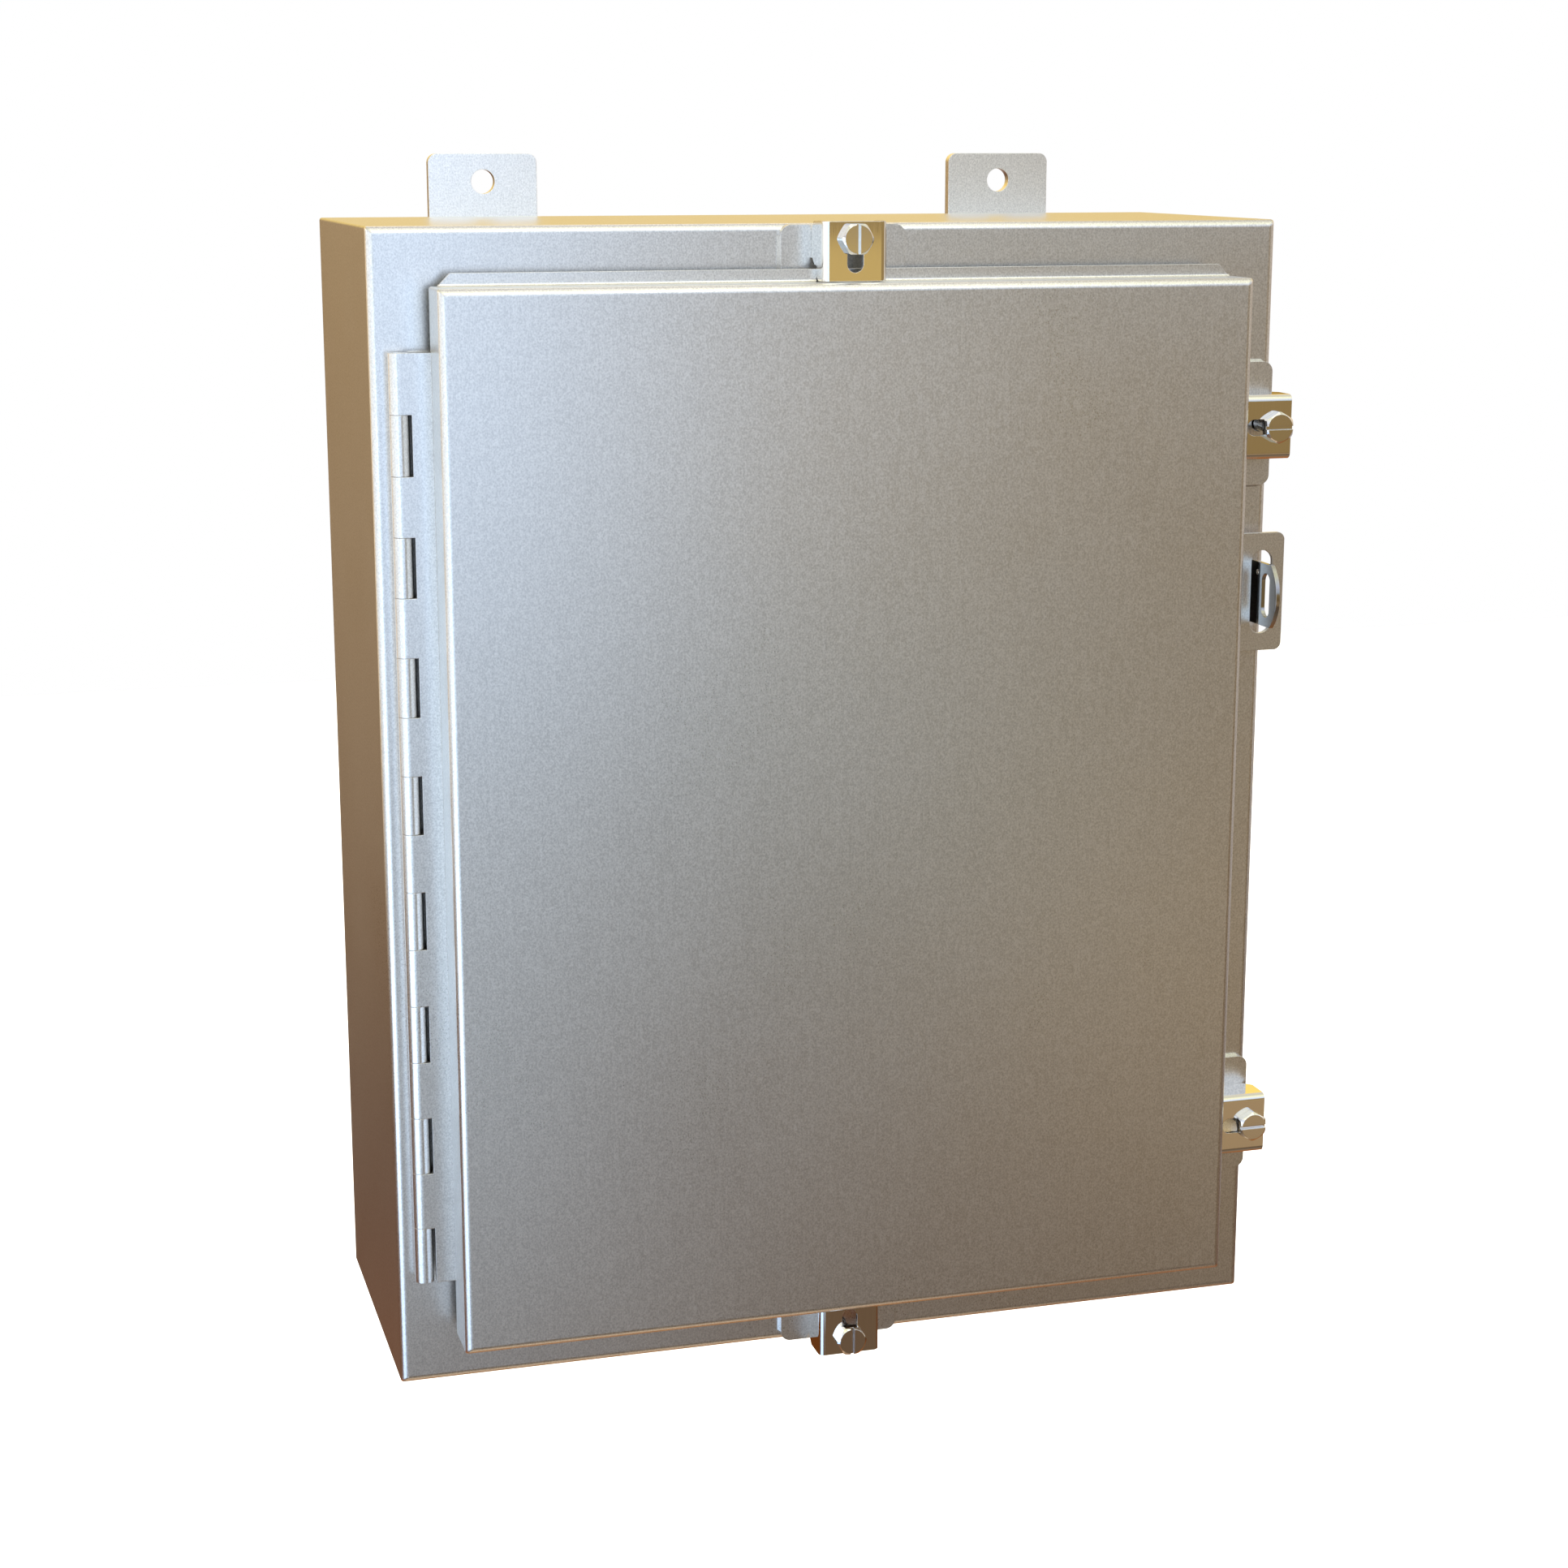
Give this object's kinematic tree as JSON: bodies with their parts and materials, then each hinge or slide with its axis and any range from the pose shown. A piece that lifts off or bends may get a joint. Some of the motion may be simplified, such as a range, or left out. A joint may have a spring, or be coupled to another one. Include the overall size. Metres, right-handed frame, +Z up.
{
  "type": "fire alarm control panel cabinet",
  "caption": "Wall-mounted stainless control panel cabinet with continuous-hinge door, sliding lip clamps, padlock hasp, wall feet, and control boards, keypad and batteries inside.",
  "frame": {"origin": "centre of the four wall bolt holes, in the wall plane at the back of the feet", "axes": "+X to the right seen from the front, +Y back into the wall, +Z up"},
  "size_m": [0.4118, 0.1889, 0.5652],
  "materials": {
    "stainless_sheet": "fine vertical grain",
    "stainless_polished": "polished",
    "stainless_hardware": "machined",
    "panel_white": "semi gloss powder coat",
    "zinc": "zinc plated",
    "board_green": "solder mask",
    "terminal_green": "moulded",
    "relay_black": "moulded",
    "capacitor_sleeve": "shrink sleeve",
    "fuse_glass": "clear",
    "heat_sink_alu": "anodised",
    "housing_grey": "fine texture",
    "window_clear": "clear",
    "display_green": "display glass",
    "lens_red": "tinted",
    "button_grey": "moulded",
    "button_red": "moulded",
    "core_steel": "varnished laminations",
    "coil_tape": "tape",
    "battery_case": "moulded",
    "tab_tin": "tin plated",
    "mat_rubber": "ribbed",
    "gasket_foam": "foamed in place",
    "pocket_plastic": "moulded"
  },
  "bodies": {
    "cabinet": {"cabinet_shell": "stainless_sheet", "mounting_feet": "stainless_sheet", "clamp_pads": "stainless_sheet", "clamp_inserts": "stainless_hardware", "hinge_leaf_cabinet": "stainless_sheet", "hinge_pin": "stainless_hardware", "lock_staple": "stainless_hardware", "panel_studs": "stainless_hardware", "back_panel": "panel_white", "panel_washers": "zinc", "panel_nuts": "zinc", "ground_stud": "stainless_hardware", "ground_nut": "zinc", "board_standoffs": "zinc", "board_screws": "zinc", "main_board": "board_green", "power_board": "board_green", "terminal_blocks": "terminal_green", "terminal_screws": "zinc", "relays": "relay_black", "capacitors": "capacitor_sleeve", "fuse_holders": "relay_black", "fuses": "fuse_glass", "heat_sink": "heat_sink_alu", "keypad_housing": "housing_grey", "display_glass": "window_clear", "display_module": "display_green", "indicator_lenses": "lens_red", "button_switches": "relay_black", "sounder": "relay_black", "transformer_core": "core_steel", "transformer_coil": "coil_tape", "transformer_frame": "zinc", "transformer_screws": "zinc", "battery_left": "battery_case", "battery_right": "battery_case", "battery_tabs": "tab_tin", "battery_mat": "mat_rubber", "battery_bracket": "zinc", "bracket_screws": "zinc"},
    "door": {"door_pan": "stainless_sheet", "hinge_leaf_door": "stainless_sheet", "door_gasket": "gasket_foam", "hasp_plate": "stainless_sheet", "document_pocket": "pocket_plastic", "door_ground_stud": "stainless_hardware", "door_ground_nut": "zinc"},
    "clamp_top_body": {"clamp_top": "stainless_polished"},
    "screw_top_body": {"screw_top": "stainless_hardware"},
    "clamp_bottom_body": {"clamp_bottom": "stainless_polished"},
    "screw_bottom_body": {"screw_bottom": "stainless_hardware"},
    "clamp_right_upper_body": {"clamp_right_upper": "stainless_polished"},
    "screw_right_upper_body": {"screw_right_upper": "stainless_hardware"},
    "clamp_right_lower_body": {"clamp_right_lower": "stainless_polished"},
    "screw_right_lower_body": {"screw_right_lower": "stainless_hardware"},
    "button_acknowledge_body": {"button_acknowledge": "button_grey"},
    "button_silence_body": {"button_silence": "button_grey"},
    "button_drill_body": {"button_drill": "button_grey"},
    "button_reset_body": {"button_reset": "button_red"}
  },
  "joints": [
    {"name": "door_hinge", "type": "hinge", "parent": "cabinet", "child": "door", "pos_m": [-0.1924, -0.16296, 0], "axis": [0, 0, -1], "range_deg": [0, 150]},
    {"name": "clamp_top_slide", "type": "slide", "parent": "cabinet", "child": "clamp_top_body", "axis": [0, 0, 1], "range_m": [0, 0.0102]},
    {"name": "screw_top_turn", "type": "hinge", "parent": "cabinet", "child": "screw_top_body", "pos_m": [0, -0.17716, 0.2478], "axis": [0, -1, 0], "continuous": true},
    {"name": "clamp_bottom_slide", "type": "slide", "parent": "cabinet", "child": "clamp_bottom_body", "axis": [0, 0, -1], "range_m": [0, 0.0102]},
    {"name": "screw_bottom_turn", "type": "hinge", "parent": "cabinet", "child": "screw_bottom_body", "pos_m": [0, -0.17716, -0.2478], "axis": [0, -1, 0], "continuous": true},
    {"name": "clamp_right_upper_slide", "type": "slide", "parent": "cabinet", "child": "clamp_right_upper_body", "axis": [1, 0, 0], "range_m": [0, 0.0102]},
    {"name": "screw_right_upper_turn", "type": "hinge", "parent": "cabinet", "child": "screw_right_upper_body", "pos_m": [0.197, -0.17716, 0.1637], "axis": [0, -1, 0], "continuous": true},
    {"name": "clamp_right_lower_slide", "type": "slide", "parent": "cabinet", "child": "clamp_right_lower_body", "axis": [1, 0, 0], "range_m": [0, 0.0102]},
    {"name": "screw_right_lower_turn", "type": "hinge", "parent": "cabinet", "child": "screw_right_lower_body", "pos_m": [0.197, -0.17716, -0.1637], "axis": [0, -1, 0], "continuous": true},
    {"name": "button_acknowledge_press", "type": "slide", "parent": "cabinet", "child": "button_acknowledge_body", "axis": [0, 1, 0], "range_m": [0, 0.0015], "stiffness_N_per_m": 300, "springref_m": -0.001},
    {"name": "button_silence_press", "type": "slide", "parent": "cabinet", "child": "button_silence_body", "axis": [0, 1, 0], "range_m": [0, 0.0015], "stiffness_N_per_m": 300, "springref_m": -0.001},
    {"name": "button_drill_press", "type": "slide", "parent": "cabinet", "child": "button_drill_body", "axis": [0, 1, 0], "range_m": [0, 0.0015], "stiffness_N_per_m": 300, "springref_m": -0.001},
    {"name": "button_reset_press", "type": "slide", "parent": "cabinet", "child": "button_reset_body", "axis": [0, 1, 0], "range_m": [0, 0.0015], "stiffness_N_per_m": 300, "springref_m": -0.001}
  ]
}
